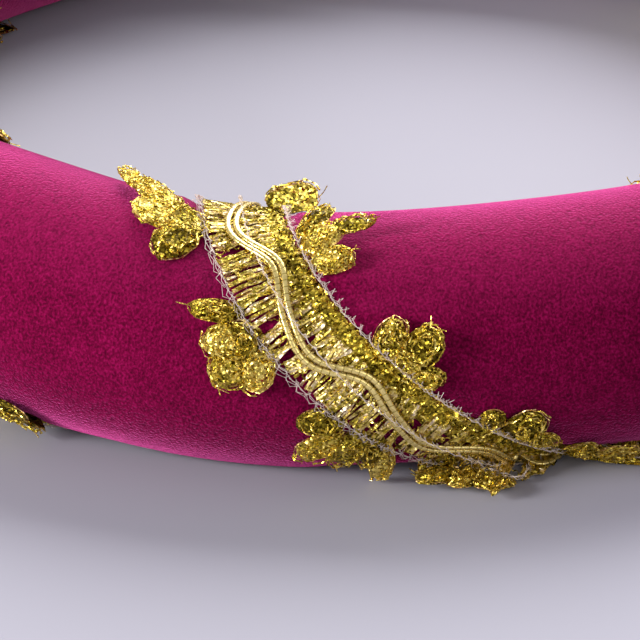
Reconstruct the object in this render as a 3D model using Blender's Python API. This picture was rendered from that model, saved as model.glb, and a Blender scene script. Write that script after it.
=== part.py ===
"""Velvet headdress: a closed, stuffed velvet ring with a gold leaf braid wound round it.

Metres, +Z up. The ring lies on the plane z = 0 as it rests by itself, centred on the origin.
Its near side, which the braid crosses in a long slant, faces -Y.
"""
import math
from bisect import bisect_right

import bmesh
import bpy
from mathutils import Vector

# Driving sizes of the stuffed ring
HEAD_OPENING = 0.181
ROLL_THICKNESS = 0.047
SWELL = 0.0015
PINCH = 0.0010
REST_SINK = 0.0020
REST_ROUNDING = 0.0008
BRAIDED_ROUNDING = 0.0032

# Driving sizes of the braid
WRAPS = 7
TAPE_WIDTH = 0.0150
BRAID_THICKNESS = 0.0009
PATTERN_REPEAT = 0.0290
LEAF_REACH = 0.0125
LEAF_LIFT = 0.0026
CORD_PAIR_WIDTH = 0.0030
CORD_THICKNESS = 0.0007
CORD_WAVE = 0.0024

# Clearances between the pieces
SEAT_GAP = 0.0008
CORD_GAP = 0.0005
FLOOR_GAP = 0.0003
PINCH_MARGIN = 0.0040
UNDERSIDE_EASE = 0.0075

# Faceting
TUBE_SIDES = 24
ROLL_STEPS = (0.0, 0.085, 0.25, 0.42, 0.58, 0.75, 0.915)
TAPE_STEPS = 5
CORD_STEPS = 6
PATH_STEPS = 96

# The braid's path: shares of the distance from one wrap to the next, and an angle round the roll
PATH_START = 0.058
PATH_LEAN = 0.094
LEAN_AT = math.radians(36.0)
OVER_TURN = -0.3
UNDER_TURN = 0.2

# Each wrap was wound by hand, a little off the even spacing, as shares of that distance:
# (over the top, under the bottom)
WRAP_NUDGES = (
    (0.00, 0.00),
    (0.09, 0.05),
    (0.07, 0.11),
    (0.14, 0.18),
    (0.22, 0.26),
    (0.27, 0.24),
    (0.16, 0.08),
)

# Where the pattern starts along the braid, as a share of one repeat before the outermost point
PATTERN_START = 0.80
LEFT_LEAF_STEP = 0
RIGHT_LEAF_STEP = 3
CORD_PHASE = 0.97

# Lobes of one leaf: (angle from straight out in degrees, length as a share of the reach,
# half width in degrees)
LEAF_LOBES = (
    (-62.0, 0.84, 13.0),
    (-8.0, 1.00, 22.0),
    (46.0, 0.88, 19.0),
)
LEAF_HUB = 0.12
LOBE_SHOULDER = 0.90
NOTCH_DEPTH = 0.50

# Derived sizes
ROLL_RADIUS = ROLL_THICKNESS / 2
RING_RADIUS = HEAD_OPENING / 2 + ROLL_RADIUS
BODY_RADIUS = ROLL_RADIUS - SWELL / 2
ROLL_HEIGHT = ROLL_RADIUS - REST_SINK
PITCH = math.tau / WRAPS
TAPE_HALF = TAPE_WIDTH / 2
CORD_HEIGHT = SEAT_GAP + BRAID_THICKNESS + CORD_GAP
UNDERSIDE_LIFT = CORD_HEIGHT + CORD_THICKNESS + FLOOR_GAP
BRAID_REACH = TAPE_HALF + LEAF_REACH

COLLECTION_NAME = "velvet_headdress"


def ease(share):
    """Smooth step from 0 to 1."""
    share = min(max(share, 0.0), 1.0)
    return share * share * (3 - 2 * share)


def soft_floor(height, rounding=REST_ROUNDING):
    """The height above a soft contact: zero once well below it, rounded where it meets."""
    if height <= -rounding:
        return 0.0
    if height >= rounding:
        return height
    return (height + rounding) ** 2 / (4 * rounding)


def nudge(turn):
    """Hand-wound shift of the path at a turn, as a share of the pitch."""
    half_turns = (turn - OVER_TURN) / (UNDER_TURN - OVER_TURN)
    index = math.floor(half_turns)
    values = [WRAP_NUDGES[(i // 2) % WRAPS % len(WRAP_NUDGES)][i % 2] for i in (index, index + 1)]
    blend = ease(half_turns - index)
    return values[0] * (1 - blend) + values[1] * blend


def path_angle(turn):
    """Angle round the ring of the braid's centre line after so many turns round the roll."""
    lean = PATH_LEAN * math.cos(math.tau * turn + LEAN_AT)
    return PITCH * (PATH_START + turn - lean + nudge(turn))


def path_slope(turn):
    """How fast the path runs round the ring, per radian round the roll."""
    step = 0.002
    return (path_angle(turn + step) - path_angle(turn - step)) / (2 * step * math.tau)


def ring_distance(tube_angle):
    """Distance from the ring's axis to the velvet at an angle round the roll."""
    return RING_RADIUS + ROLL_RADIUS * math.cos(tube_angle)


def nearest_wrap(ring_angle, tube_angle):
    """Turn of the nearest wrap at this angle round the roll, and the angle to it."""
    base = -tube_angle / math.tau
    best = None
    for wrap in range(WRAPS):
        turn = base + wrap
        offset = ring_angle - path_angle(turn)
        offset -= math.tau * round(offset / math.tau)
        if best is None or abs(offset) < abs(best[1]):
            best = (turn, offset)
    return best


def braid_distance(ring_angle, tube_angle):
    """Distance along the velvet to the braid's centre, and the share of the gap to the next."""
    turn, offset = nearest_wrap(ring_angle, tube_angle)
    reach = ring_distance(tube_angle) * abs(offset)
    slant = math.hypot(ROLL_RADIUS, ring_distance(tube_angle) * path_slope(turn))
    neighbour = turn + math.copysign(1.0, offset)
    gap = abs(path_angle(neighbour) - path_angle(turn))
    return reach * ROLL_RADIUS / slant, abs(offset) / gap


def roll_point(ring_angle, tube_angle):
    """Point on the stuffed roll, swollen between wraps and flattened where it rests."""
    distance, share = braid_distance(ring_angle, tube_angle)
    swell = SWELL * (1 - math.cos(math.tau * share)) / 2
    pinch = PINCH * (1 - ease((distance - TAPE_HALF) / PINCH_MARGIN))
    radius = BODY_RADIUS + swell - pinch
    under_braid = 1 - ease((distance - BRAID_REACH) / UNDERSIDE_EASE)
    floor = UNDERSIDE_LIFT * under_braid
    rounding = REST_ROUNDING + (BRAIDED_ROUNDING - REST_ROUNDING) * under_braid
    out = RING_RADIUS + radius * math.cos(tube_angle)
    height = ROLL_HEIGHT + radius * math.sin(tube_angle)
    height = floor + soft_floor(height - floor, rounding)
    return Vector((out * math.sin(ring_angle), -out * math.cos(ring_angle), height))


def roll_normal(ring_angle, tube_angle):
    """Outward direction of the velvet."""
    step = 0.01
    along = roll_point(ring_angle + step, tube_angle) - roll_point(ring_angle - step, tube_angle)
    around = roll_point(ring_angle, tube_angle + step) - roll_point(ring_angle, tube_angle - step)
    return along.cross(around).normalized()


def measure_path():
    """Lengths along the braid's centre line, from turn 0, at even steps over all the wraps."""
    lengths = [0.0]
    step = 1.0 / PATH_STEPS
    for index in range(WRAPS * PATH_STEPS):
        turn = (index + 0.5) * step
        around = ROLL_RADIUS * math.tau
        along = ring_distance(-math.tau * turn) * path_slope(turn) * math.tau
        lengths.append(lengths[-1] + math.hypot(around, along) * step)
    return lengths


PATH_LENGTHS = measure_path()
BRAID_LENGTH = PATH_LENGTHS[-1]
REPEATS = round(BRAID_LENGTH / PATTERN_REPEAT)
REPEAT = BRAID_LENGTH / REPEATS


def turn_at(length):
    """Turn round the roll at a length along the braid."""
    laps, length = divmod(length, BRAID_LENGTH)
    index = min(bisect_right(PATH_LENGTHS, length) - 1, len(PATH_LENGTHS) - 2)
    low, high = PATH_LENGTHS[index], PATH_LENGTHS[index + 1]
    return laps * WRAPS + (index + (length - low) / (high - low)) / PATH_STEPS


def on_roll(length, across, height, floor_gap):
    """Point over the velvet: along the braid, across it, and out from it."""
    turn = turn_at(length)
    tube_angle = -math.tau * turn
    around = ring_distance(tube_angle)
    travel = around * path_slope(turn)
    slant = math.hypot(ROLL_RADIUS, travel)
    ring_angle = path_angle(turn) + across * ROLL_RADIUS / (slant * around)
    tube_angle += across * travel / (slant * ROLL_RADIUS)
    tube_angle = math.remainder(tube_angle, math.tau)
    point = roll_point(ring_angle, tube_angle) + height * roll_normal(ring_angle, tube_angle)
    point.z = floor_gap + soft_floor(point.z - floor_gap)
    return point


def new_object(name, mesh_data, collection):
    """Turn a closed bmesh into a named object with outward faces."""
    bmesh.ops.triangulate(mesh_data, faces=mesh_data.faces[:])
    bmesh.ops.recalc_face_normals(mesh_data, faces=mesh_data.faces[:])
    mesh = bpy.data.meshes.new(name)
    mesh_data.to_mesh(mesh)
    mesh_data.free()
    mesh.shade_smooth()
    mesh.set_sharp_from_angle(angle=math.radians(40))
    piece = bpy.data.objects.new(name, mesh)
    collection.objects.link(piece)
    return piece


def finish(piece, colour, roughness, metallic):
    """Give a piece its own material."""
    material = bpy.data.materials.new(piece.name)
    material.use_nodes = True
    shader = material.node_tree.nodes["Principled BSDF"]
    shader.inputs["Base Color"].default_value = (*colour, 1.0)
    shader.inputs["Roughness"].default_value = roughness
    shader.inputs["Metallic"].default_value = metallic
    piece.data.materials.append(material)


def make_velvet_roll(collection):
    """The stuffed ring: a grid that follows the braid, closed on itself both ways."""
    mesh_data = bmesh.new()
    rows = []
    for row in range(WRAPS * TUBE_SIDES):
        turn = row / TUBE_SIDES
        tube_angle = math.remainder(-math.tau * turn, math.tau)
        here, after = path_angle(turn), path_angle(turn + 1)
        points = [roll_point(here + (after - here) * share, tube_angle) for share in ROLL_STEPS]
        rows.append([mesh_data.verts.new(point) for point in points])
    for row in range(len(rows)):
        along = rows[(row + 1) % len(rows)]
        beside = rows[(row + TUBE_SIDES) % len(rows)]
        beside_along = rows[(row + 1 + TUBE_SIDES) % len(rows)]
        near = rows[row] + [beside[0]]
        far = along + [beside_along[0]]
        for column in range(len(ROLL_STEPS)):
            corners = (near[column], near[column + 1], far[column + 1], far[column])
            mesh_data.faces.new(corners)
    return new_object("velvet_roll", mesh_data, collection)


def thicken(sheet, lower, upper):
    """Close a sheet into a solid between two heights; lower and upper place each point."""
    solid = bmesh.new()
    low = {vert: solid.verts.new(lower(*vert.co)) for vert in sheet.verts}
    high = {vert: solid.verts.new(upper(*vert.co)) for vert in sheet.verts}
    for face in sheet.faces:
        solid.faces.new([high[vert] for vert in face.verts])
        solid.faces.new([low[vert] for vert in reversed(face.verts)])
    for edge in sheet.edges:
        if edge.is_boundary:
            first, second = edge.verts
            solid.faces.new((low[first], low[second], high[second], high[first]))
    sheet.free()
    return solid


def lobe_outline():
    """Outline of one leaf as (angle, share of the reach), from one side to the other."""
    outline = []
    for index, (angle, length, half_width) in enumerate(LEAF_LOBES):
        if index:
            before, _, before_width = LEAF_LOBES[index - 1]
            notch = (before + before_width + angle - half_width) / 2
            outline.append((notch, NOTCH_DEPTH))
        outline.append((angle - half_width, length * LOBE_SHOULDER))
        outline.append((angle, length))
        outline.append((angle + half_width, length * LOBE_SHOULDER))
    return [(math.radians(angle), share) for angle, share in outline]


def add_leaf(sheet, first, second, middle, side):
    """Fan one leaf out of a step of the tape's edge."""
    hub_across = side * (TAPE_HALF + LEAF_HUB * LEAF_REACH)
    hub = sheet.verts.new((middle, hub_across, 0.0))
    reach = LEAF_REACH * (1 - LEAF_HUB)
    rim = [first]
    for angle, share in lobe_outline():
        along = middle + reach * share * math.sin(angle)
        across = hub_across + side * reach * share * math.cos(angle)
        rim.append(sheet.verts.new((along, across, 0.0)))
    rim.append(second)
    for start, end in zip(rim, rim[1:]):
        sheet.faces.new((hub, start, end) if side < 0 else (hub, end, start))
    sheet.faces.new((hub, second, first) if side < 0 else (hub, first, second))


def leaf_height(across):
    """Height of the braid's underside over the velvet: the leaves stand off towards their tips."""
    share = max(abs(across) - TAPE_HALF, 0.0) / LEAF_REACH
    return SEAT_GAP + LEAF_LIFT * share


def make_leaf_braid(collection):
    """The woven tape with a row of leaves along each edge, one closed band."""
    sheet = bmesh.new()
    count = REPEATS * TAPE_STEPS
    step = REPEAT / TAPE_STEPS
    start = -PATTERN_START * REPEAT
    rows = []
    for index in range(count):
        places = (-TAPE_HALF, 0.0, TAPE_HALF)
        rows.append([sheet.verts.new((start + index * step, across, 0.0)) for across in places])
    for index, row in enumerate(rows):
        after = rows[(index + 1) % count]
        for column in (0, 1):
            sheet.faces.new((row[column], after[column], after[column + 1], row[column + 1]))
        middle = start + (index + 0.5) * step
        if index % TAPE_STEPS == LEFT_LEAF_STEP:
            add_leaf(sheet, row[0], after[0], middle, -1)
        if index % TAPE_STEPS == RIGHT_LEAF_STEP:
            add_leaf(sheet, row[2], after[2], middle, 1)

    def lower(along, across, _):
        return on_roll(along, across, leaf_height(across), FLOOR_GAP + BRAID_THICKNESS)

    def upper(along, across, _):
        return on_roll(along, across, leaf_height(across) + BRAID_THICKNESS, FLOOR_GAP)

    return new_object("leaf_braid", thicken(sheet, lower, upper), collection)


def make_gimp_cords(collection):
    """The pair of gimp cords, laid side by side in waves down the middle of the tape."""
    sheet = bmesh.new()
    count = REPEATS * CORD_STEPS
    rows = []
    for index in range(count):
        repeat = index / CORD_STEPS
        middle = CORD_WAVE * math.cos(math.tau * (repeat - CORD_PHASE))
        places = (middle - CORD_PAIR_WIDTH / 2, middle + CORD_PAIR_WIDTH / 2)
        rows.append([sheet.verts.new((repeat * REPEAT, across, 0.0)) for across in places])
    for index, row in enumerate(rows):
        after = rows[(index + 1) % count]
        sheet.faces.new((row[0], after[0], after[1], row[1]))

    def lower(along, across, _):
        return on_roll(along, across, CORD_HEIGHT, FLOOR_GAP + CORD_THICKNESS)

    def upper(along, across, _):
        return on_roll(along, across, CORD_HEIGHT + CORD_THICKNESS, FLOOR_GAP)

    return new_object("gimp_cords", thicken(sheet, lower, upper), collection)


def main():
    for piece in list(bpy.data.objects):
        bpy.data.objects.remove(piece)
    collection = bpy.data.collections.new(COLLECTION_NAME)
    bpy.context.scene.collection.children.link(collection)
    finish(make_velvet_roll(collection), (0.33, 0.01, 0.09), 0.85, 0.0)
    finish(make_leaf_braid(collection), (0.60, 0.45, 0.10), 0.35, 0.9)
    finish(make_gimp_cords(collection), (0.78, 0.64, 0.30), 0.40, 0.7)


main()
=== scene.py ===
"""Velvet headdress: the looks of a stuffed velvet ring wound with a gold leaf braid.

Laid out as a Blender add-on and run as a script: one operator makes each piece or group of pieces.
"""
import math

import bpy
import numpy as np
from bpy.props import FloatProperty, FloatVectorProperty, PointerProperty
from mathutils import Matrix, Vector


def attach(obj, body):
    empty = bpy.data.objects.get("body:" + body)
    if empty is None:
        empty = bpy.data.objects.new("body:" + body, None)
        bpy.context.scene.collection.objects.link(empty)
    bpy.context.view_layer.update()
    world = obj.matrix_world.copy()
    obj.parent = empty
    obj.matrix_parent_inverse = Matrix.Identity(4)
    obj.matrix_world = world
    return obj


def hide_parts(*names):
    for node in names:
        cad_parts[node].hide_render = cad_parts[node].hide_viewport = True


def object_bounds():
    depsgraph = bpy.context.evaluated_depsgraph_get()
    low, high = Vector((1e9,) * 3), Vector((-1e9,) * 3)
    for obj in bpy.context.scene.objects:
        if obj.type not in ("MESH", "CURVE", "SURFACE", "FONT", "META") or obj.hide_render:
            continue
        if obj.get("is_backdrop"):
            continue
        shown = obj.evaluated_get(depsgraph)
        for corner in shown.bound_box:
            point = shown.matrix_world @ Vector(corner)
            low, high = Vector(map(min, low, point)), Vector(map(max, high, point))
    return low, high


bl_info = {
    "name": "Velvet headdress",
    "version": (1, 0, 0),
    "blender": (4, 5, 0),
    "location": "View3D > Sidebar > Headdress",
    "description": "Makes the velvet cover, the gold leaf braid and the stage",
    "category": "Object",
}

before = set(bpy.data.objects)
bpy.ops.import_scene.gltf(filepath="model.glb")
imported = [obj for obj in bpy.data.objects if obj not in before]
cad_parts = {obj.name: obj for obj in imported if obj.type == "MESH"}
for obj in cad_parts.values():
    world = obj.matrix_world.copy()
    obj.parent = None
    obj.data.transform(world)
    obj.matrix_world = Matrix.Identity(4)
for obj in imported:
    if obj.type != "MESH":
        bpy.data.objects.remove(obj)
CAD_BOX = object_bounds()
BODY = "root"

# Sizes of the stuffed ring, in metres, as the frame has them
ROLL_RADIUS = 0.0235
RING_RADIUS = 0.114
SWELL = 0.0015
PINCH = 0.0010
BODY_RADIUS = ROLL_RADIUS - SWELL / 2
ROLL_HEIGHT = 0.0215
REST_ROUNDING = 0.0008
BRAIDED_ROUNDING = 0.0014
PINCH_MARGIN = 0.0040
UNDERSIDE_LIFT = 0.0018
UNDERSIDE_EASE = 0.0075

# The braid's path, as the frame has it: seven wraps, leaning, each a little off its even place
WRAPS = 7
PITCH = math.tau / WRAPS
PATH_START = 0.058
PATH_LEAN = 0.094
LEAN_AT = math.radians(36.0)
OVER_TURN = -0.3
UNDER_TURN = 0.2
WRAP_NUDGES = (
    (0.00, 0.00),
    (0.09, 0.05),
    (0.07, 0.11),
    (0.14, 0.18),
    (0.22, 0.26),
    (0.27, 0.24),
    (0.16, 0.08),
)
PATH_STEPS = 192
REPEATS = 45

# Widths across the braid, in metres
TAPE_HALF = 0.0075
LEAF_LENGTH = 0.0125
BRAID_REACH = TAPE_HALF + LEAF_LENGTH
FLOOR_GAP = 0.0002

# Leaves that face the floor sag away from the velvet
LEAF_SAG = 0.0042

# Where the braid lets go of the roll's lower side: the zone's middle and half width round the roll,
# how much later the right edge lets go than the left, the angle past which the braid leaves the
# velvet, how far it then goes out and down, over what length it turns its face up, and how
# loose each wrap is
HANG_MIDDLE = math.radians(-66.0)
HANG_ZONE = math.radians(30.0)
HANG_SHIFT = math.radians(14.0)
HANG_FROM = math.radians(-58.0)
HANG_OUT = 0.9
HANG_DOWN = 0.5
HANG_TURN = 0.003
HANG_SHARES = np.array([1.0, 0.5, 0.8, 0.4, 0.9, 0.6, 0.2])
UP = np.array([0.0, 0.0, 1.0])

# Shapes of a leaf: for each lobe its middle along the braid from the root and out from the tape's
# edge, half length, half width, in millimetres, and its lean from straight out in degrees
LEAF_SHAPES = {
    "narrow first": (
        (-7.3, 3.9, 4.7, 1.7, -26.0),
        (-2.2, 5.6, 3.8, 2.9, -22.0),
        (-1.0, 3.0, 3.6, 3.2, -10.0),
        (1.2, 7.2, 3.9, 2.8, 4.0),
        (3.6, 3.8, 4.2, 2.9, 34.0),
    ),
    "spread": (
        (-6.9, 3.2, 4.2, 2.5, -56.0),
        (-3.8, 7.2, 4.8, 2.4, -26.0),
        (0.4, 4.8, 4.6, 2.6, 2.0),
        (4.4, 3.0, 3.8, 2.4, 26.0),
        (8.4, 4.6, 5.0, 2.1, 34.0),
    ),
    "far reach": (
        (-9.6, 12.2, 4.6, 1.8, -48.0),
        (-5.8, 8.0, 5.0, 2.6, -44.0),
        (-1.4, 8.2, 4.6, 2.9, -10.0),
        (0.8, 3.4, 3.8, 3.2, 0.0),
        (4.8, 6.2, 4.6, 2.7, 24.0),
    ),
    "round pair": (
        (-5.2, 3.0, 4.2, 2.7, -22.0),
        (0.9, 5.8, 4.4, 3.1, 4.0),
        (5.2, 1.6, 3.8, 2.1, 46.0),
        (0.0, 1.4, 2.6, 3.4, 0.0),
    ),
    "long reach": (
        (-4.6, 4.6, 4.6, 2.3, -32.0),
        (2.6, 10.6, 5.0, 1.8, 34.0),
        (7.6, 4.2, 5.0, 2.6, 50.0),
        (1.4, 4.4, 4.6, 3.0, 14.0),
    ),
    "upright": (
        (0.2, 2.2, 4.7, 2.9, 18.0),
        (-0.4, -0.8, 2.6, 1.8, 0.0),
    ),
    "small pair": (
        (-6.4, 1.8, 3.2, 1.9, -30.0),
        (-0.8, 4.2, 4.6, 3.2, -8.0),
        (4.0, 2.2, 3.8, 2.5, 36.0),
    ),
}

# The leaves of five repeats, then round again: (place of the root in its repeat, shape, how
# steeply the tips rise off the velvet and how steeply the leaf tilts along the braid, in degrees)
LEFT_LEAVES = (
    (0.14, "spread", 8.0, 0.0),
    (0.11, "spread", 8.0, 0.0),
    (0.26, "narrow first", 10.0, 6.0),
    (0.41, "far reach", 6.0, 2.0),
    (0.28, "narrow first", 8.0, 0.0),
)
RIGHT_LEAVES = (
    (0.94, "small pair", 8.0, 0.0),
    (0.60, "round pair", 8.0, 0.0),
    (0.98, "upright", 6.0, 70.0),
    (0.83, "long reach", 8.0, 4.0),
    (1.00, "round pair", 8.0, 0.0),
)
LEAF_SIDES = ((-1, LEFT_LEAVES), (1, RIGHT_LEAVES))

# How much fuller a lobe is made than its row of the table says: along it and across it
LOBE_FULLNESS = (1.02, 1.16)
OUTLINE_WIDTH = 0.00024

# The metal thread on the tape's right half, then on its left: threads to a repeat, and the two
# places across the braid that they keep between
FILLINGS = (
    (28, 0.0012, TAPE_HALF - 0.0002),
    (26, -TAPE_HALF, 0.001),
)

# The gimp cords: how far the middle of their wave lies from the tape's, its swing and the smaller
# swing that skews it, and how high the cords lie
CORD_MIDDLE = -0.0006
CORD_SWING = 0.0024
CORD_SKEW = 0.0004
CORD_HEIGHT = 0.0019
CORD_SIDES = 6

# The nylon lines: name, place across the braid, side, number of strands and height
NYLON_LINES = (
    ("nylon_left", -TAPE_HALF, -1, 4, 0.0016),
    ("nylon_middle", -0.0006, 0, 2, 0.0028),
    ("nylon_right", TAPE_HALF, 1, 4, 0.0016),
)
NYLON_WIDTH = 0.00014

# How far the velvet has to face up, from 0 to 1, before a painted highlight makes its colour paler
PAINTED_HIGHLIGHT_FROM = 0.5

# Facets of the metal thread to a metre
FACETS = 2300.0

# The lights: name, place and width
LIGHTS = (
    ("overhead", (0.25, 0.9, 0.75), 1.1),
    ("side", (-1.4, -0.6, 0.5), 0.5),
    ("front", (0.35, -1.5, 0.8), 0.8),
)

MILLIMETRE = 0.001


def ease(share):
    """Smooth step from 0 to 1."""
    share = np.clip(share, 0.0, 1.0)
    return share * share * (3 - 2 * share)


def soft_floor(height, rounding):
    """The height above a soft contact: zero once well below it, rounded where it meets."""
    blend = (height + rounding) ** 2 / (4 * rounding)
    return np.where(height <= -rounding, 0.0, np.where(height >= rounding, height, blend))


def nudge(turn):
    """Hand-wound shift of the path at a turn, as a share of the pitch."""
    half_turns = (turn - OVER_TURN) / (UNDER_TURN - OVER_TURN)
    index = np.floor(half_turns).astype(int)
    values = np.array(WRAP_NUDGES).ravel()
    blend = ease(half_turns - index)
    return values[index % len(values)] * (1 - blend) + values[(index + 1) % len(values)] * blend


def path_angle(turn):
    """Angle round the ring of the braid's centre line after so many turns round the roll."""
    lean = PATH_LEAN * np.cos(math.tau * turn + LEAN_AT)
    return PITCH * (PATH_START + turn - lean + nudge(turn))


def path_slope(turn):
    """How fast the path runs round the ring, per radian round the roll."""
    step = 0.002
    return (path_angle(turn + step) - path_angle(turn - step)) / (2 * step * math.tau)


def ring_distance(tube_angle):
    """Distance from the ring's axis to the velvet at an angle round the roll."""
    return RING_RADIUS + ROLL_RADIUS * np.cos(tube_angle)


def roll_shape(ring_angle, tube_angle, distance, share, puff=0.0):
    """Points of the stuffed roll, given how far each lies from the braid."""
    swell = SWELL * (1 - np.cos(math.tau * share)) / 2
    pinch = PINCH * (1 - ease((distance - TAPE_HALF) / PINCH_MARGIN))
    radius = BODY_RADIUS + swell - pinch + puff
    under_braid = 1 - ease((distance - BRAID_REACH) / UNDERSIDE_EASE)
    floor = UNDERSIDE_LIFT * under_braid
    rounding = REST_ROUNDING + (BRAIDED_ROUNDING - REST_ROUNDING) * under_braid
    out = RING_RADIUS + radius * np.cos(tube_angle)
    height = ROLL_HEIGHT + radius * np.sin(tube_angle)
    height = floor + soft_floor(height - floor, rounding)
    return np.stack([out * np.sin(ring_angle), -out * np.cos(ring_angle), height], axis=-1)


def unit(vectors):
    """Vectors of length one."""
    return vectors / np.maximum(np.linalg.norm(vectors, axis=-1, keepdims=True), 1e-12)


def measure_path():
    """Turns at even steps, and the length along the braid's centre line to each, from turn 0."""
    turns = np.arange(-PATH_STEPS, (WRAPS + 1) * PATH_STEPS + 1) / PATH_STEPS
    middles = (turns[1:] + turns[:-1]) / 2
    along = ring_distance(-math.tau * middles) * path_slope(middles) * math.tau
    steps = np.hypot(ROLL_RADIUS * math.tau, along) / PATH_STEPS
    lengths = np.concatenate([[0.0], np.cumsum(steps)])
    return turns, lengths - lengths[PATH_STEPS]


PATH_TURNS, PATH_LENGTHS = measure_path()
BRAID_LENGTH = PATH_LENGTHS[-1 - PATH_STEPS]
REPEAT = BRAID_LENGTH / REPEATS


def hang_share(turn, across):
    """How far the braid lets go of the roll: 1 at the lower outer side, 0 elsewhere."""
    angle = -math.tau * (turn - np.round(turn))
    middle = HANG_MIDDLE - HANG_SHIFT * np.clip(across / TAPE_HALF, -1, 1)
    looseness = HANG_SHARES[np.round(turn).astype(int) % WRAPS]
    looseness = looseness * ease(0.35 + 0.65 * np.abs(across) / TAPE_HALF)
    return looseness * ease(1.6 * (1 - np.abs(angle - middle) / HANG_ZONE))


def on_roll(along, across, height):
    """Points over the velvet at places along and across the braid, and directions out of it."""
    laps = np.floor(along / BRAID_LENGTH)
    turn = np.interp(along - laps * BRAID_LENGTH, PATH_LENGTHS, PATH_TURNS)
    tube_angle = -math.tau * (turn - np.round(turn))
    around = ring_distance(tube_angle)
    travel = around * path_slope(turn)
    slant = np.hypot(ROLL_RADIUS, travel)
    ring_angle = path_angle(turn) + across * ROLL_RADIUS / (slant * around)
    tube_angle = tube_angle + across * travel / (slant * ROLL_RADIUS)
    past = hang_share(turn, across) * np.maximum(HANG_FROM - tube_angle, 0)
    tube_angle = tube_angle + past
    past = past * ROLL_RADIUS
    face_up = ease(past / HANG_TURN)
    overhang = ease((-np.sin(tube_angle) - 0.62) / 0.34)
    beyond = np.clip((np.abs(across) - TAPE_HALF) / LEAF_LENGTH, 0, 1.3)
    height = height + LEAF_SAG * overhang * beyond * (1 - face_up)
    distance = np.abs(across)
    share = distance * slant / (ROLL_RADIUS * around * PITCH)
    step = 0.01
    ahead = roll_shape(ring_angle + step, tube_angle, distance, share)
    behind = roll_shape(ring_angle - step, tube_angle, distance, share)
    over = roll_shape(ring_angle, tube_angle + step, distance, share)
    under = roll_shape(ring_angle, tube_angle - step, distance, share)
    outward = unit(np.cross(ahead - behind, over - under))
    outward = unit(outward + 4 * face_up[..., None] * UP)
    base = roll_shape(ring_angle, tube_angle, distance, share)
    base[..., 0] += HANG_OUT * past * np.sin(ring_angle)
    base[..., 1] -= HANG_OUT * past * np.cos(ring_angle)
    base[..., 2] = soft_floor(base[..., 2] - HANG_DOWN * past, REST_ROUNDING)
    points = base + outward * height[..., None]
    floor = FLOOR_GAP + np.minimum(height, 0.0015) * 0.5
    points[..., 2] = floor + soft_floor(points[..., 2] - floor, REST_ROUNDING)
    return points, outward


def sweep(centres, outward, widths, depths, spins, sides, closed=False):
    """Tubes along rows of points, as (points, quads, caps).

    centres and outward are (rows, points, 3); widths, depths and spins are (rows, points).
    """
    if closed:
        travel = np.roll(centres, -1, axis=1) - np.roll(centres, 1, axis=1)
    else:
        travel = np.gradient(centres, axis=1)
    travel = unit(travel)
    side = unit(np.cross(outward, travel))
    up = np.cross(travel, side)
    angles = math.tau * np.arange(sides) / sides
    flat_x = np.cos(angles) * widths[..., None] / 2
    flat_y = np.sin(angles) * depths[..., None] / 2
    cos_spin, sin_spin = np.cos(spins)[..., None], np.sin(spins)[..., None]
    turned_x = flat_x * cos_spin - flat_y * sin_spin
    turned_y = flat_x * sin_spin + flat_y * cos_spin
    rings = centres[:, :, None] + side[:, :, None] * turned_x[..., None]
    rings = rings + up[:, :, None] * turned_y[..., None]
    rows, count = centres.shape[:2]
    ids = np.arange(rows * count * sides).reshape(rows, count, sides)
    after = np.roll(ids, -1, axis=1) if closed else ids[:, 1:]
    here = ids if closed else ids[:, :-1]
    quads = np.stack([here, np.roll(here, -1, 2), np.roll(after, -1, 2), after], axis=-1)
    caps = np.empty((0, sides), dtype=int)
    if not closed:
        caps = np.concatenate([ids[:, 0, ::-1], ids[:, -1]])
    return rings.reshape(-1, 3), quads.reshape(-1, 4), caps


class Skein:
    """Gathers the faces of many threads into one mesh."""

    def __init__(self):
        self.points = []
        self.faces = []
        self.count = 0

    def add(self, points, *faces):
        """Add points and the faces between them, each array of faces having one corner count."""
        self.faces += [corners + self.count for corners in faces if len(corners)]
        self.points.append(points)
        self.count += len(points)

    def piece(self, name, material, smooth):
        """Make the gathered faces into a named object."""
        points = np.concatenate(self.points)
        corners = np.concatenate([faces.ravel() for faces in self.faces])
        sizes = np.concatenate([np.full(len(faces), faces.shape[1]) for faces in self.faces])
        mesh = bpy.data.meshes.new(name)
        mesh.vertices.add(len(points))
        mesh.vertices.foreach_set("co", points.astype(np.float32).ravel())
        mesh.loops.add(len(corners))
        mesh.loops.foreach_set("vertex_index", corners.astype(np.int32))
        mesh.polygons.add(len(sizes))
        mesh.polygons.foreach_set("loop_start", (np.cumsum(sizes) - sizes).astype(np.int32))
        mesh.polygons.foreach_set("use_smooth", np.full(len(sizes), smooth))
        mesh.update()
        mesh.validate()
        piece = bpy.data.objects.new(name, mesh)
        bpy.context.scene.collection.objects.link(piece)
        mesh.materials.append(material)
        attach(piece, BODY)
        return piece


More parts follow.
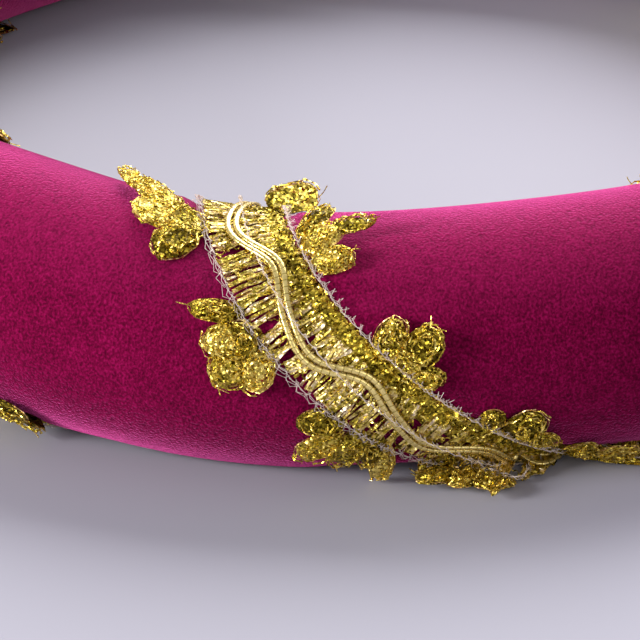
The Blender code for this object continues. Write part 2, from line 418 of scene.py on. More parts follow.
class Shade:
    """One output of a material's node tree, usable in plain arithmetic."""

    def __init__(self, tree, socket=None):
        self.tree = tree
        self.socket = socket

    def node(self, kind, settings=None, inputs=None, output=0):
        """Add a node: its settings first, then values or links for its sockets."""
        node = self.tree.nodes.new(kind)
        for name, value in (settings or {}).items():
            if name == "stops":
                set_stops(node.color_ramp, value)
            else:
                setattr(node, name, value)
        for name, value in (inputs or {}).items():
            if isinstance(value, Shade):
                self.tree.links.new(value.socket, node.inputs[name])
            else:
                node.inputs[name].default_value = value
        return Shade(self.tree, node.outputs[output])

    def math(self, operation, first, second=0.0):
        """One Math node."""
        return self.node("ShaderNodeMath", {"operation": operation}, {0: first, 1: second})

    def vector_math(self, operation, first, second, output=0):
        """One Vector Math node."""
        inputs = {0: first, 1: second}
        return self.node("ShaderNodeVectorMath", {"operation": operation}, inputs, output)

    def mix(self, factor, first, second):
        """Blend two colours."""
        inputs = {"Factor": factor, 6: first, 7: second}
        return self.node("ShaderNodeMix", {"data_type": "RGBA"}, inputs, output=2)

    def __add__(self, other):
        return self.math("ADD", self, other)

    __radd__ = __add__

    def __sub__(self, other):
        return self.math("SUBTRACT", self, other)

    def __rsub__(self, other):
        return self.math("SUBTRACT", other, self)

    def __mul__(self, other):
        return self.math("MULTIPLY", self, other)

    __rmul__ = __mul__


def set_stops(ramp, stops):
    """Set a colour ramp's stops, given as (place, colour)."""
    while len(ramp.elements) > 1:
        ramp.elements.remove(ramp.elements[-1])
    ramp.elements[0].position, ramp.elements[0].color = stops[0]
    for place, colour in stops[1:]:
        ramp.elements.new(place).color = colour


def new_material(name, constants):
    """A material, its shader's constants set, and a Shade to build its nodes with."""
    material = bpy.data.materials.new(name)
    material.use_nodes = True
    shader = material.node_tree.nodes["Principled BSDF"]
    for socket, value in constants.items():
        shader.inputs[socket].default_value = value
    return material, shader, Shade(material.node_tree)


def wire(shader, socket, shade):
    """Link a shade to one of the shader's sockets."""
    shade.tree.links.new(shade.socket, shader.inputs[socket])


def opaque(colour):
    """A colour with its alpha."""
    return (*colour, 1.0)


def velvet_material(colours):
    """Short-pile velvet: a fine grain of deep and pale tufts, and a painted highlight that makes it
    paler where it faces up.
    """
    material, shader, shade = new_material("velvet", {
        "Roughness": 0.8,
        "Specular IOR Level": 0.03,
        "Sheen Weight": 1.0,
        "Sheen Roughness": 0.32,
        "Sheen Tint": opaque(colours.velvet_sheen),
    })
    place = shade.node("ShaderNodeTexCoord", output=3)
    grain = shade.node("ShaderNodeTexNoise", inputs={"Vector": place, "Scale": 2000.0, "Detail": 3.0})
    tuft = shade.node("ShaderNodeTexNoise", inputs={"Vector": place, "Scale": 420.0, "Detail": 2.0})
    nap = shade.node("ShaderNodeTexNoise", inputs={"Vector": place, "Scale": 45.0, "Detail": 3.0})
    fleck = grain * 0.85 + tuft * 0.15
    shift = nap * 0.15 + fleck - 0.07
    tone = shade.node("ShaderNodeValToRGB", {"stops": (
        (0.34, opaque(colours.velvet_deep)),
        (0.52, opaque(colours.velvet)),
        (0.68, opaque(colours.velvet_pale)),
    )}, {"Fac": shift})
    # Painted highlight: the more the velvet faces up, the more a paler colour is mixed in, standing in
    # for light on its top
    facing = shade.node("ShaderNodeTexCoord", output=1)
    up = shade.node("ShaderNodeSeparateXYZ", inputs={"Vector": facing}, output=2)
    painted_top_highlight = shade.node("ShaderNodeMapRange", inputs={
        "Value": up, "From Min": PAINTED_HIGHLIGHT_FROM, "From Max": 1.0, "To Min": 0.0, "To Max": 1.0})
    tone = shade.mix(painted_top_highlight * (fleck * 1.6 - 0.3), tone, opaque(colours.velvet_painted_highlight))
    wire(shader, "Base Color", tone)
    bump = shade.node("ShaderNodeBump", inputs={
        "Strength": 0.6, "Distance": 0.0007, "Height": fleck})
    wire(shader, "Normal", bump)
    return material


def glitter(shade, place, cells, tilt):
    """Random facets: the tone of each, and a bump that tilts it its own way."""
    vector = {"Vector": place, "Scale": cells}
    tone = shade.node("ShaderNodeTexVoronoi", inputs=vector, output=1)
    middle = shade.node("ShaderNodeTexVoronoi", inputs=vector, output=2)
    offset = shade.vector_math("SUBTRACT", place, middle)
    lean = shade.vector_math("SUBTRACT", tone, (0.5, 0.5, 0.5))
    height = shade.vector_math("DOT_PRODUCT", offset, lean, output=1)
    bump = shade.node("ShaderNodeBump", inputs={
        "Strength": 1.0, "Distance": 1.0, "Height": height * tilt})
    return shade.node("ShaderNodeSeparateColor", inputs={"Color": tone}), bump


def thread_material(name, pale, mid, dark, roughness, tilt=1.6):
    """Crinkled metal thread: gold film whose creases catch or lose the light."""
    material, shader, shade = new_material(name, {"Metallic": 1.0})
    place = shade.node("ShaderNodeTexCoord", output=3)
    facet, bump = glitter(shade, place, FACETS, tilt)
    strand = shade.node("ShaderNodeNewGeometry", output=8)
    crease = shade.node("ShaderNodeTexNoise", inputs={"Vector": place, "Scale": 900.0, "Detail": 2.0})
    tone = shade.node("ShaderNodeValToRGB", {"stops": (
        (0.20, opaque(dark)),
        (0.50, opaque(mid)),
        (0.85, opaque(pale)),
    )}, {"Fac": strand * 0.6 + facet * 0.4 + crease - 0.5})
    wire(shader, "Base Color", tone)
    wire(shader, "Roughness", facet * 0.3 + (roughness - 0.1))
    wire(shader, "Normal", bump)
    return material


def gimp_material(name, pale, dark):
    """Pale gold cord: a flat film wound tightly round a core."""
    material, shader, shade = new_material(name, {"Metallic": 0.8})
    place = shade.node("ShaderNodeTexCoord", output=3)
    cloud = shade.node("ShaderNodeTexNoise", inputs={"Vector": place, "Scale": 900.0, "Detail": 2.0})
    tone = shade.mix(cloud, opaque(dark), opaque(pale))
    wire(shader, "Base Color", tone)
    bump = shade.node("ShaderNodeBump", inputs={
        "Strength": 0.25, "Distance": 0.0002, "Height": cloud})
    wire(shader, "Normal", bump)
    wire(shader, "Roughness", cloud * 0.25 + 0.14)
    return material


def nylon_material(colours):
    """Clear nylon thread with a faint milky cast."""
    material, shader, shade = new_material("nylon", {
        "Alpha": 0.6,
        "IOR": 1.45,
        "Roughness": 0.3,
    })
    place = shade.node("ShaderNodeTexCoord", output=3)
    cloud = shade.node("ShaderNodeTexNoise", inputs={"Vector": place, "Scale": 700.0, "Detail": 1.0})
    wire(shader, "Base Color", shade.mix(cloud, opaque(colours.nylon), opaque(colours.nylon_pale)))
    return material


def slot(piece):
    """Return the piece as it is."""
    return piece


def nearest_braid(ring_angle, tube_angle):
    """For points of the roll: distance to the braid, share of the gap, side, length along it."""
    base = -tube_angle / math.tau
    best = np.full(ring_angle.shape, np.inf)
    turns = np.zeros(ring_angle.shape)
    offsets = np.zeros(ring_angle.shape)
    for wrap in range(WRAPS):
        turn = base + wrap
        offset = ring_angle - path_angle(turn)
        offset = offset - math.tau * np.round(offset / math.tau)
        closer = np.abs(offset) < best
        best = np.where(closer, np.abs(offset), best)
        turns = np.where(closer, turn, turns)
        offsets = np.where(closer, offset, offsets)
    around = ring_distance(tube_angle)
    slant = np.hypot(ROLL_RADIUS, around * path_slope(turns))
    distance = around * best * ROLL_RADIUS / slant
    neighbour = turns + np.sign(offsets)
    gap = np.abs(path_angle(neighbour) - path_angle(turns))
    along = np.interp(np.mod(turns, WRAPS), PATH_TURNS, PATH_LENGTHS)
    return distance, best / gap, np.sign(offsets), along


def wrinkles(distance, side, along):
    """Soft gathers that run out from the braid's edges, deepest beside the tape."""
    phase = along * math.tau
    wave = np.cos(phase / 0.0125 + 1.7 * np.cos(phase / 0.057) + side)
    wave = wave + 0.6 * np.cos(phase / 0.0071 + 2.3 * np.sin(phase / 0.083) - side)
    fade = np.exp(-((distance - TAPE_HALF) / 0.0085) ** 2)
    return 0.00032 * wave * fade * (0.75 + 0.25 * np.cos(phase / 0.19))


class HEADDRESS_OT_velvet_roll(bpy.types.Operator):
    """Make the velvet cover of the stuffed ring"""

    bl_idname = "headdress.velvet_roll"
    bl_label = "Velvet roll"
    bl_options = {"REGISTER", "UNDO"}

    def execute(self, context):
        ring_steps, tube_steps = 512, 108
        ring = math.tau * np.arange(ring_steps) / ring_steps
        tube = math.tau * np.arange(tube_steps) / tube_steps
        ring_angle, tube_angle = np.meshgrid(ring, tube, indexing="ij")
        distance, share, side, along = nearest_braid(ring_angle, tube_angle)
        puff = wrinkles(distance, side, along)
        points = roll_shape(ring_angle, tube_angle, distance, share, puff)
        ids = np.arange(ring_steps * tube_steps).reshape(ring_steps, tube_steps)
        beside, above = np.roll(ids, -1, 0), np.roll(ids, -1, 1)
        quads = np.stack([ids, beside, np.roll(beside, -1, 1), above], axis=-1).reshape(-1, 4)
        skein = Skein()
        skein.add(points.reshape(-1, 3), quads)
        material = velvet_material(context.scene.headdress_colours)
        piece = slot(skein.piece("velvet_cover", material, True))
        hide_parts("velvet_roll")
        return {"FINISHED"}


def lay(skein, along, across, height, widths, depths, spins, sides=3, closed=False):
    """Lay threads on the roll: rows of points given along, across and out from the braid."""
    centres, outward = on_roll(along, across, height)
    skein.add(*sweep(centres, outward, widths, depths, spins, sides, closed))


class Leaf:
    """One leaf: its root along the braid, its side, its lobes, and how it stands off the velvet."""

    def __init__(self, root, side, lobes, rise, tilt):
        self.root = root
        self.side = side
        self.lobes = np.array(lobes)
        self.rise = math.radians(rise)
        self.tilt = math.radians(tilt)
        self.hinge = self.lobes[:, 0].max() + 2.0

    def lay(self, flat, height):
        """Places along and across the braid, and heights, of the leaf's own flat points."""
        out = np.clip(flat[..., 1], 0, None)
        back = self.hinge - flat[..., 0]
        along = self.hinge - back * math.cos(self.tilt) - height * math.sin(self.tilt)
        across = flat[..., 1] - out + out * math.cos(self.rise) - height * math.sin(self.rise)
        lifted = 0.3 + out * math.sin(self.rise) + height * math.cos(self.rise)
        lifted = np.maximum(lifted + back * math.sin(self.tilt), 0.2)
        along = self.root + along * MILLIMETRE
        return along, self.side * (TAPE_HALF + across * MILLIMETRE), lifted * MILLIMETRE

    def lobe_point(self, lobe, reach, width):
        """Flat point of a lobe from shares of its half length and half width."""
        middle, halves, lean = lobe[:2], lobe[2:4], math.radians(lobe[4])
        out, sideways = reach * halves[0], width * halves[1]
        return np.stack([
            middle[0] + out * math.sin(lean) + sideways * math.cos(lean),
            middle[1] + out * math.cos(lean) - sideways * math.sin(lean),
        ], axis=-1)


class HEADDRESS_OT_leaves(bpy.types.Operator):
    """Make the two rows of thread leaves along the braid"""

    bl_idname = "headdress.leaves"
    bl_label = "Leaves"
    bl_options = {"REGISTER", "UNDO"}

    def execute(self, context):
        sizes = context.scene.headdress_sizes
        colours = context.scene.headdress_colours
        ground = thread_material("leaf_ground", colours.gold_pale, colours.gold_olive,
                                 colours.gold_dark, 0.3)
        thread = thread_material("leaf_thread", colours.gold_pale, colours.gold,
                                 colours.gold_olive, 0.22, 1.1)
        outline = thread_material("leaf_outline", colours.copper_pale, colours.copper,
                                  colours.gold_olive, 0.3)
        random = np.random.default_rng(7)
        for index, repeats in enumerate(np.array_split(np.arange(REPEATS), WRAPS)):
            grounds, threads, outlines = Skein(), Skein(), Skein()
            for repeat in repeats:
                for leaf in self.leaves_of(repeat):
                    for lobe in leaf.lobes:
                        lobe[2:4] *= LOBE_FULLNESS
                        self.pillow(grounds, leaf, lobe, random)
                        self.fill(threads, leaf, lobe, sizes.thread_width, random)
                        self.loops(outlines, leaf, lobe, random)
                        self.ends(threads, leaf, lobe, sizes.thread_width / 2, random)
            parts = (
                ("leaf_mats", grounds, ground),
                ("leaf_threads", threads, thread),
                ("leaf_outlines", outlines, outline),
            )
            for name, skein, material in parts:
                slot(skein.piece(f"{name}_{index + 1}", material, False))
        return {"FINISHED"}

    def leaves_of(self, repeat):
        """The two leaves of one repeat of the pattern."""
        for side, leaves in LEAF_SIDES:
            place, shape, rise, tilt = leaves[repeat % len(leaves)]
            yield Leaf((repeat + place) * REPEAT, side, LEAF_SHAPES[shape], rise, tilt)

    def pillow(self, skein, leaf, lobe, random):
        """The padded ground of one lobe: a flat-bottomed dome with an uneven rim."""
        sectors = 16
        angles = math.tau * np.arange(sectors) / sectors
        rings = np.array([0.4, 0.75, 1.0])[:, None] * random.uniform(0.88, 1.08, sectors)
        reach, width = rings * np.cos(angles), rings * np.sin(angles)
        flat = leaf.lobe_point(lobe, reach, width).reshape(-1, 2)
        flat = np.concatenate([leaf.lobe_point(lobe, np.zeros(1), np.zeros(1)), flat])
        puff = np.concatenate([[1.3], random.uniform(1.0, 1.4, sectors),
                               random.uniform(0.6, 1.1, sectors), np.full(sectors, 0.25)])
        top, _ = on_roll(*leaf.lay(flat, puff))
        edge = flat[1 + 2 * sectors:]
        low, _ = on_roll(*leaf.lay(np.concatenate([flat[:1], edge]), np.zeros(1 + sectors)))
        ids = 1 + np.arange(3 * sectors).reshape(3, sectors)
        after = np.roll(ids, -1, axis=1)
        count = len(flat)
        fan = np.stack([np.zeros(sectors, dtype=int), after[0], ids[0]], axis=-1)
        belt = np.stack([ids[:-1], after[:-1], after[1:], ids[1:]], axis=-1).reshape(-1, 4)
        under = ids[0] + count
        rim = np.stack([ids[-1], after[-1], np.roll(under, -1), under], axis=-1)
        flip = slice(None, None, -1) if leaf.side > 0 else slice(None)
        sole = np.stack([np.full(sectors, count), under, np.roll(under, -1)], axis=-1)
        skein.add(np.concatenate([top, low]), fan[:, flip], belt[:, flip], rim[:, flip], sole[:, flip])

    def fill(self, skein, leaf, lobe, width, random):
        """Crinkled metal thread heaped over a lobe in uneven arcs wound round its middle."""
        steps, stride = 9, 0.62
        threads = max(6, round(lobe[2] * lobe[3] * 1.04))
        share = np.sqrt(random.uniform(0.03, 1.0, (threads, 1)))
        turn = np.minimum(stride / (math.sqrt(lobe[2] * lobe[3]) * share), 0.9)
        turn = turn * random.choice((-1, 1), (threads, 1))
        angle = random.uniform(0, math.tau, (threads, 1)) + turn * np.arange(steps)
        angle = angle + random.normal(0, 0.14, (threads, steps))
        reach = share + np.cumsum(random.normal(0, 0.08, (threads, steps)), axis=1)
        reach = np.clip(reach, 0.05, 1.1)
        flat = leaf.lobe_point(lobe, reach * np.cos(angle), reach * np.sin(angle))
        height = 0.45 + 1.15 * np.sqrt(np.clip(1 - reach, 0, 1))
        height = height + random.uniform(-0.1, 0.65, reach.shape)
        widths = width * random.uniform(0.6, 1.3, reach.shape)
        lay(skein, *leaf.lay(flat, height), widths, widths * 0.42,
            random.normal(0, 0.9, reach.shape))

    def loops(self, skein, leaf, lobe, random):
        """The thin thread looped round the lobe's rim."""
        count = 20
        angles = math.tau * (np.arange(count) + random.uniform(-0.3, 0.3, count)) / count
        reach = 1.0 + random.uniform(-0.06, 0.04, count)
        flat = leaf.lobe_point(lobe, reach * np.cos(angles), reach * np.sin(angles))[None]
        height = random.uniform(0.05, 0.5, (1, count))
        widths = np.full((1, count), OUTLINE_WIDTH)
        lay(skein, *leaf.lay(flat, height), widths, widths, np.zeros((1, count)), closed=True)

    def ends(self, skein, leaf, lobe, width, random):
        """Loose thread ends past the lobe's tip, none to two of them."""
        for _ in range(random.integers(0, 3)):
            reach = (0.85 + random.uniform(0.06, 0.12) * np.arange(6))[None]
            angle = random.normal(0, 0.8) + random.uniform(-0.12, 0.12) * np.arange(6)[None]
            flat = leaf.lobe_point(lobe, reach * np.cos(angle), reach * np.sin(angle))
            height = 0.7 + random.uniform(0.0, 0.3) * np.arange(6)[None]
            widths = np.full(height.shape, width)
            lay(skein, *leaf.lay(flat, height), widths, widths, np.zeros(height.shape))


class HEADDRESS_OT_tape(bpy.types.Operator):
    """Make the wefts and the crinkled filling of the woven tape"""

    bl_idname = "headdress.tape"
    bl_label = "Woven tape"
    bl_options = {"REGISTER", "UNDO"}

    def execute(self, context):
        colours = context.scene.headdress_colours
        sizes = context.scene.headdress_sizes
        random = np.random.default_rng(11)
        weft = thread_material("weft", colours.gold_white, colours.gold_pale,
                               colours.gold_olive, 0.3, 0.8)
        wefts = Skein()
        self.wefts(wefts, random)
        piece = slot(wefts.piece("tape_wefts", weft, False))
        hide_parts("leaf_braid")
        thread = thread_material("tape_thread", colours.gold_pale, colours.gold_olive,
                                 colours.gold_dark, 0.26, 1.0)
        filling = Skein()
        self.filling(filling, sizes.thread_width, random)
        slot(filling.piece("tape_filling", thread, False))
        packed = thread_material("tape_packed", colours.gold, colours.gold_olive,
                                 colours.gold_dark, 0.3)
        packing = Skein()
        self.packing(packing, random)
        slot(packing.piece("tape_packing", packed, False))
        return {"FINISHED"}

    def wefts(self, skein, random):
        """Metal strips laid across the tape, bunched a few at a time with slits between."""
        bunches, strips, points = 13, 6, 6
        count = REPEATS * bunches
        bunch = np.arange(count) + random.uniform(-0.4, 0.4, count)
        spread = random.uniform(0.75, 1.4, count)
        lean = random.normal(0, 0.0006, count)
        bunch, spread, lean = (np.repeat(value, strips) for value in (bunch, spread, lean))
        count = count * strips
        spots = (bunch + spread * random.uniform(0.0, 1.0, count)) / bunches * REPEAT
        across = np.linspace(-0.98, 0.5, points) * TAPE_HALF
        across = across + random.uniform(-0.0003, 0.0003, (count, points))
        slant = lean[:, None] + random.normal(0, 0.0004, (count, 1))
        slant = slant * np.linspace(-1, 1, points)
        along = spots[:, None] + slant + random.normal(0, 0.0001, (count, points))
        height = 0.0006 + 0.0008 * random.random((count, points))
        widths = random.uniform(0.0005, 0.0010, (count, points))
        spins = random.normal(0, 0.4, (count, points))
        lay(skein, along, across, height, widths, widths * 0.4, spins)

    def packing(self, skein, random):
        """The lumpy layer of packed thread under the right half."""
        steps = 1800
        across = np.array([0.0006, 0.0020, 0.0034, 0.0048, 0.0062, 0.0072])
        lumps = random.uniform(0.0006, 0.0013, (steps, 6))
        lumps[:, (0, -1)] = 0.0005
        along = np.arange(steps)[:, None] / steps * BRAID_LENGTH
        along = along + random.uniform(-0.0002, 0.0002, (steps, 6))
        across = across + random.uniform(-0.0003, 0.0003, (steps, 6))
        top, _ = on_roll(along, across, lumps)
        low, _ = on_roll(along[:, ::-1], across[:, ::-1], np.full(lumps.shape, 0.0001))
        ids = np.arange(steps * 12).reshape(steps, 12)
        after = np.roll(ids, -1, axis=0)
        quads = np.stack([ids, np.roll(ids, -1, 1), np.roll(after, -1, 1), after], axis=-1)
        skein.add(np.concatenate([top, low], axis=1).reshape(-1, 3), quads.reshape(-1, 4))

    def filling(self, skein, width, random):
        """Crinkled metal thread: packed along the right half, sparser on the left."""
        points, stride = 11, 0.00062
        for per_repeat, inner, outer in FILLINGS:
            count = REPEATS * per_repeat
            along = random.uniform(0, BRAID_LENGTH, count)
            across = random.uniform(inner, outer, count)
            heading = random.uniform(0, math.tau, count)
            rows = []
            for _ in range(points):
                rows.append((along, across))
                heading = heading + random.normal(0, 0.8, count)
                along = along + stride * np.cos(heading)
                across = np.clip(across + stride * np.sin(heading), inner, outer)
            along = np.stack([row[0] for row in rows], axis=1)
            across = np.stack([row[1] for row in rows], axis=1)
            height = 0.0007 + 0.0009 * random.random(along.shape)
            widths = width * random.uniform(0.7, 1.4, along.shape)
            lay(skein, along, across, height, widths, widths * 0.45,
                random.uniform(0, math.tau, along.shape))


class HEADDRESS_OT_gimp_cords(bpy.types.Operator):
    """Make the two wrapped cords that wave down the middle of the tape"""

    bl_idname = "headdress.gimp_cords"
    bl_label = "Gimp cords"
    bl_options = {"REGISTER", "UNDO"}

    def execute(self, context):
        colours = context.scene.headdress_colours
        material = gimp_material("gimp", colours.gimp, colours.gimp_dark)
        # Painted shade: a darker gold for the short pinched ring of faces at each winding's start,
        # standing in for the shade in the groove between windings
        groove_shade = gimp_material("gimp_groove", colours.gold_olive, colours.gold_dark)
        sizes = context.scene.headdress_sizes
        windings = round(BRAID_LENGTH / sizes.winding)
        for name, offset in (("gimp_cord_left", -0.55), ("gimp_cord_right", 0.55)):
            skein = Skein()
            self.cord(skein, offset * (sizes.cord_width + 0.0001), sizes.cord_width, windings)
            piece = slot(skein.piece(name, material, True))
            piece.data.materials.append(groove_shade)
            # The faces that take the painted shade of the groove
            groove_shade_faces = np.arange(len(piece.data.polygons)) // CORD_SIDES % 3 == 0
            piece.data.polygons.foreach_set("material_index", groove_shade_faces.astype(np.int32))
            if offset < 0:
                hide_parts("gimp_cords")
        return {"FINISHED"}

    def cord(self, skein, offset, width, windings):
        """One cord, pinched at the start of each winding."""
        shares = np.array([0.0, 0.1, 0.2])
        girths = np.array([0.9, 0.9, 1.0])
        along = ((np.arange(windings)[:, None] + shares) * BRAID_LENGTH / windings).ravel()
        wave = math.tau * along / REPEAT
        middle = CORD_MIDDLE + CORD_SWING * np.cos(wave + 0.19)
        middle = middle + CORD_SKEW * np.cos(2 * wave + 1.6)
        along, across = along[None], (middle + offset)[None]
        widths = (np.tile(girths, windings) * width)[None]
        height = np.full(along.shape, CORD_HEIGHT)
        lay(skein, along, across, height, widths, widths * 0.5,
            np.zeros(along.shape), CORD_SIDES, closed=True)


class HEADDRESS_OT_nylon(bpy.types.Operator):
    """Make the clear nylon threads that bind the tape's edges and middle"""

    bl_idname = "headdress.nylon"
    bl_label = "Nylon threads"
    bl_options = {"REGISTER", "UNDO"}

    def execute(self, context):
        material = nylon_material(context.scene.headdress_colours)
        for name, across, side, strands, lift in NYLON_LINES:
            skein = Skein()
            for strand in range(strands):
                self.strand(skein, across, side, strand, lift)
            slot(skein.piece(name, material, True))
        return {"FINISHED"}

    def strand(self, skein, middle, side, strand, lift):
        """One looping strand of a bound line; the edges' outermost strand makes picots."""
        points = 2000
        random = np.random.default_rng(30 + 5 * strand + side)
        lap = np.arange(points) / points
        waves = 440 + 47 * strand
        drift = np.cumsum(random.normal(0, 0.14, points))
        phase = math.tau * lap * waves + drift - drift[-1] * lap + 2.1 * strand
        outer = max(strand - 1, 0)
        swing = (0.00035 + 0.00025 * outer) * random.uniform(0.6, 1.4, points)
        across = middle + side * (0.0001 + 0.0003 * outer) + swing * np.sin(phase)
        along = lap * BRAID_LENGTH + 0.0008 * np.cos(phase)
        height = lift + 0.0004 * np.cos(phase + strand)
        widths = np.full((1, points), NYLON_WIDTH)
        lay(skein, along[None], across[None], height[None], widths, widths,
            np.zeros((1, points)), closed=True)


class HEADDRESS_OT_stage(bpy.types.Operator):
    """Make the floor, the lights and the camera"""

    bl_idname = "headdress.stage"
    bl_label = "Stage"
    bl_options = {"REGISTER", "UNDO"}

    def execute(self, context):
        stage = context.scene.headdress_stage
        self.floor(stage)
        self.world(context.scene, stage)
        for name, place, size in LIGHTS:
            self.light(name, place, size, getattr(stage, f"{name}_power"))
        self.camera(context.scene, stage)
        return {"FINISHED"}

    def floor(self, stage):
        """A wide pale floor."""
        bpy.ops.mesh.primitive_plane_add(size=6.0)
        floor = bpy.context.object
        floor.name = "floor"
        material, shader, shade = new_material("floor", {"Roughness": 0.7, "Specular IOR Level": 0.2})
        place = shade.node("ShaderNodeTexCoord", output=3)
        cloud = shade.node("ShaderNodeTexNoise", inputs={"Vector": place, "Scale": 3.0})
        colour = Vector(stage.floor_colour)
        wire(shader, "Base Color", shade.mix(cloud, opaque(colour * 0.98), opaque(colour * 1.02)))
        floor.data.materials.append(material)
        floor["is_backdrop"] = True

    def world(self, scene, stage):
        """Soft even light from all round."""
        world = bpy.data.worlds.new("studio")
        world.use_nodes = True
        background = world.node_tree.nodes["Background"]
        background.inputs["Color"].default_value = opaque(stage.world_colour)
        background.inputs["Strength"].default_value = stage.world_strength
        scene.world = world
        scene.view_settings.view_transform = "Standard"

    def light(self, name, place, size, power):
        """A soft square light aimed at the middle of the near side."""
        data = bpy.data.lights.new(name, "AREA")
        data.size = size
        data.energy = power
        light = bpy.data.objects.new(name, data)
        light.location = place
        aim = Vector((0.0, -RING_RADIUS, ROLL_HEIGHT)) - light.location
        light.rotation_euler = aim.to_track_quat("-Z", "Y").to_euler()
        bpy.context.scene.collection.objects.link(light)

    def camera(self, scene, stage):
        """The photograph's view: a long lens, looking down over the near side."""
        data = bpy.data.cameras.new("camera")
        data.lens = stage.lens
        data.sensor_width = 36.0
        data.clip_start = 0.01
        camera = bpy.data.objects.new("camera", data)
        aim = Vector((stage.aim[0], stage.aim[1], ROLL_HEIGHT))
        back = Vector((0.0, -math.cos(stage.elevation), math.sin(stage.elevation)))
        camera.location = aim + back * stage.distance
        camera.rotation_euler = (-back).to_track_quat("-Z", "Y").to_euler()
        scene.collection.objects.link(camera)
        scene.camera = camera


def colour_property(name, description, default):
    """A colour that a user can change."""
    return FloatVectorProperty(name=name, description=description, default=default,
                               subtype="COLOR", size=3, min=0.0, max=1.0)


def length_property(name, description, default):
    """A length that a user can change."""
    return FloatProperty(name=name, description=description, default=default, min=0.00001,
                         subtype="DISTANCE", unit="LENGTH")


class HeaddressColours(bpy.types.PropertyGroup):
    """Colours of the velvet and the braid"""

    velvet: colour_property("Velvet", "The velvet's main colour", (0.150, 0.0008, 0.031))
    velvet_deep: colour_property("Velvet, deep", "Between the tufts", (0.070, 0.0004, 0.014))
    velvet_pale: colour_property("Velvet, pale", "Along the nap", (0.25, 0.003, 0.059))
    # Painted highlight: the paler colour mixed into the velvet where it faces up, standing in for
    # light on its top
    velvet_painted_highlight: colour_property("Velvet, rubbed", "Along the top, where hands smooth the pile",
                                   (0.30, 0.0085, 0.080))
    velvet_sheen: colour_property("Velvet sheen", "Light caught by the pile", (1.0, 0.14, 0.5))
    gold: colour_property("Gold", "Metal thread", (0.85, 0.615, 0.085))
    gold_pale: colour_property("Gold, pale", "Metal thread in the light", (0.94, 0.73, 0.19))
    gold_white: colour_property("Gold, white", "Brightest wefts", (0.94, 0.76, 0.52))
    gold_olive: colour_property("Gold, olive", "Metal thread in the shade", (0.46, 0.345, 0.034))
    gold_dark: colour_property("Gold, dark", "Between the threads", (0.13, 0.09, 0.008))
    copper: colour_property("Copper", "Outline thread", (0.62, 0.33, 0.10))
    copper_pale: colour_property("Copper, pale", "Outline thread in the light", (0.90, 0.62, 0.30))
    gimp: colour_property("Gimp", "Wrapped cord", (0.92, 0.75, 0.31))
    gimp_dark: colour_property("Gimp, dark", "Wrapped cord in the shade", (0.74, 0.56, 0.17))
    nylon: colour_property("Nylon", "Clear thread", (0.92, 0.76, 0.68))
    nylon_pale: colour_property("Nylon, pale", "Clear thread in the light", (1.0, 0.88, 0.80))


class HeaddressSizes(bpy.types.PropertyGroup):
    """Sizes of the braid's threads"""

    thread_width: length_property("Thread", "Width of the crinkled metal thread", 0.00046)
    cord_width: length_property("Gimp cord", "Width of one wrapped cord", 0.0013)
    winding: length_property("Winding", "Length of one winding of a cord", 0.00125)


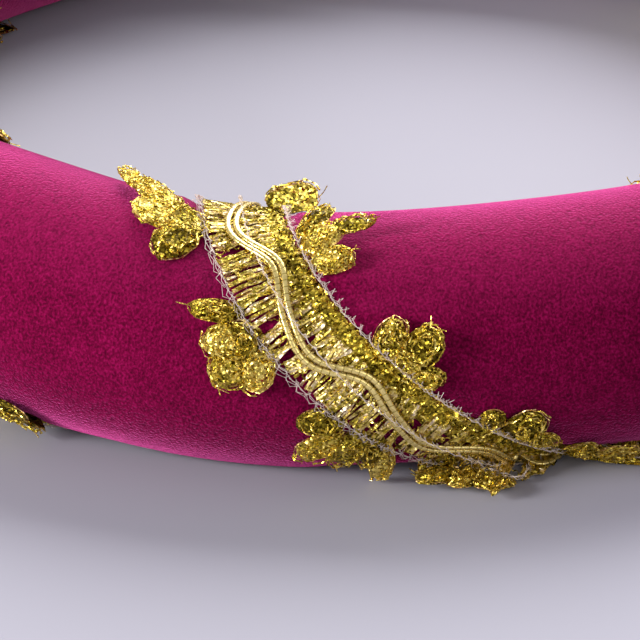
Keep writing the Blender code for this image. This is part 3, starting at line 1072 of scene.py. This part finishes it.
class HeaddressStage(bpy.types.PropertyGroup):
    """Floor, lights and camera"""

    floor_colour: colour_property("Floor", "Colour of the floor", (0.368, 0.357, 0.413))
    world_colour: colour_property("World colour", "Colour of the light all round", (0.93, 0.92, 1.0))
    world_strength: FloatProperty(name="World", description="Strength of the light all round",
                                  default=0.45, min=0.0)
    overhead_power: FloatProperty(name="Overhead light", description="Power of the overhead light",
                                  default=36.0, min=0.0, subtype="POWER", unit="POWER")
    side_power: FloatProperty(name="Side light", description="Power of the light at the left",
                              default=31.0, min=0.0, subtype="POWER", unit="POWER")
    front_power: FloatProperty(name="Front light", description="Power of the light in front",
                               default=4.0, min=0.0, subtype="POWER", unit="POWER")
    elevation: FloatProperty(name="Elevation", description="Angle of the view above the floor",
                             default=math.radians(26.8), subtype="ANGLE", unit="ROTATION")
    distance: length_property("Distance", "From the camera to the near side", 1.75)
    lens: FloatProperty(name="Lens", description="Focal length in millimetres", default=532.7,
                        min=1.0, subtype="DISTANCE_CAMERA", unit="CAMERA")
    aim: FloatVectorProperty(name="Aim", description="Point the camera looks at", size=2,
                             default=(-0.0116, -0.1064), subtype="XYZ", unit="LENGTH")


class HEADDRESS_PT_panel(bpy.types.Panel):
    """Lists the pieces of the headdress"""

    bl_idname = "HEADDRESS_PT_panel"
    bl_label = "Velvet headdress"
    bl_space_type = "VIEW_3D"
    bl_region_type = "UI"
    bl_category = "Headdress"

    def draw(self, context):
        for operator in OPERATORS:
            self.layout.operator(operator.bl_idname)
        for group in ("headdress_colours", "headdress_sizes", "headdress_stage"):
            box = self.layout.box()
            settings = getattr(context.scene, group)
            for name in settings.bl_rna.properties.keys():
                if name not in {"rna_type", "name"}:
                    box.prop(settings, name)


OPERATORS = (
    HEADDRESS_OT_velvet_roll,
    HEADDRESS_OT_leaves,
    HEADDRESS_OT_tape,
    HEADDRESS_OT_gimp_cords,
    HEADDRESS_OT_nylon,
    HEADDRESS_OT_stage,
)
GROUPS = {
    "headdress_colours": HeaddressColours,
    "headdress_sizes": HeaddressSizes,
    "headdress_stage": HeaddressStage,
}


def register():
    for group in GROUPS.values():
        bpy.utils.register_class(group)
    for operator in OPERATORS:
        bpy.utils.register_class(operator)
    bpy.utils.register_class(HEADDRESS_PT_panel)
    for name, group in GROUPS.items():
        setattr(bpy.types.Scene, name, PointerProperty(type=group))


def unregister():
    for name in GROUPS:
        delattr(bpy.types.Scene, name)
    bpy.utils.unregister_class(HEADDRESS_PT_panel)
    for operator in reversed(OPERATORS):
        bpy.utils.unregister_class(operator)
    for group in GROUPS.values():
        bpy.utils.unregister_class(group)


def main():
    register()
    bpy.ops.headdress.velvet_roll()
    bpy.ops.headdress.leaves()
    bpy.ops.headdress.tape()
    bpy.ops.headdress.gimp_cords()
    bpy.ops.headdress.nylon()
    bpy.ops.headdress.stage()
    boxes = {"cad": CAD_BOX, "visual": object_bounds()}
    sizes = {name: [list(corner) for corner in box] for name, box in boxes.items()}


if __name__ == "__main__":
    main()
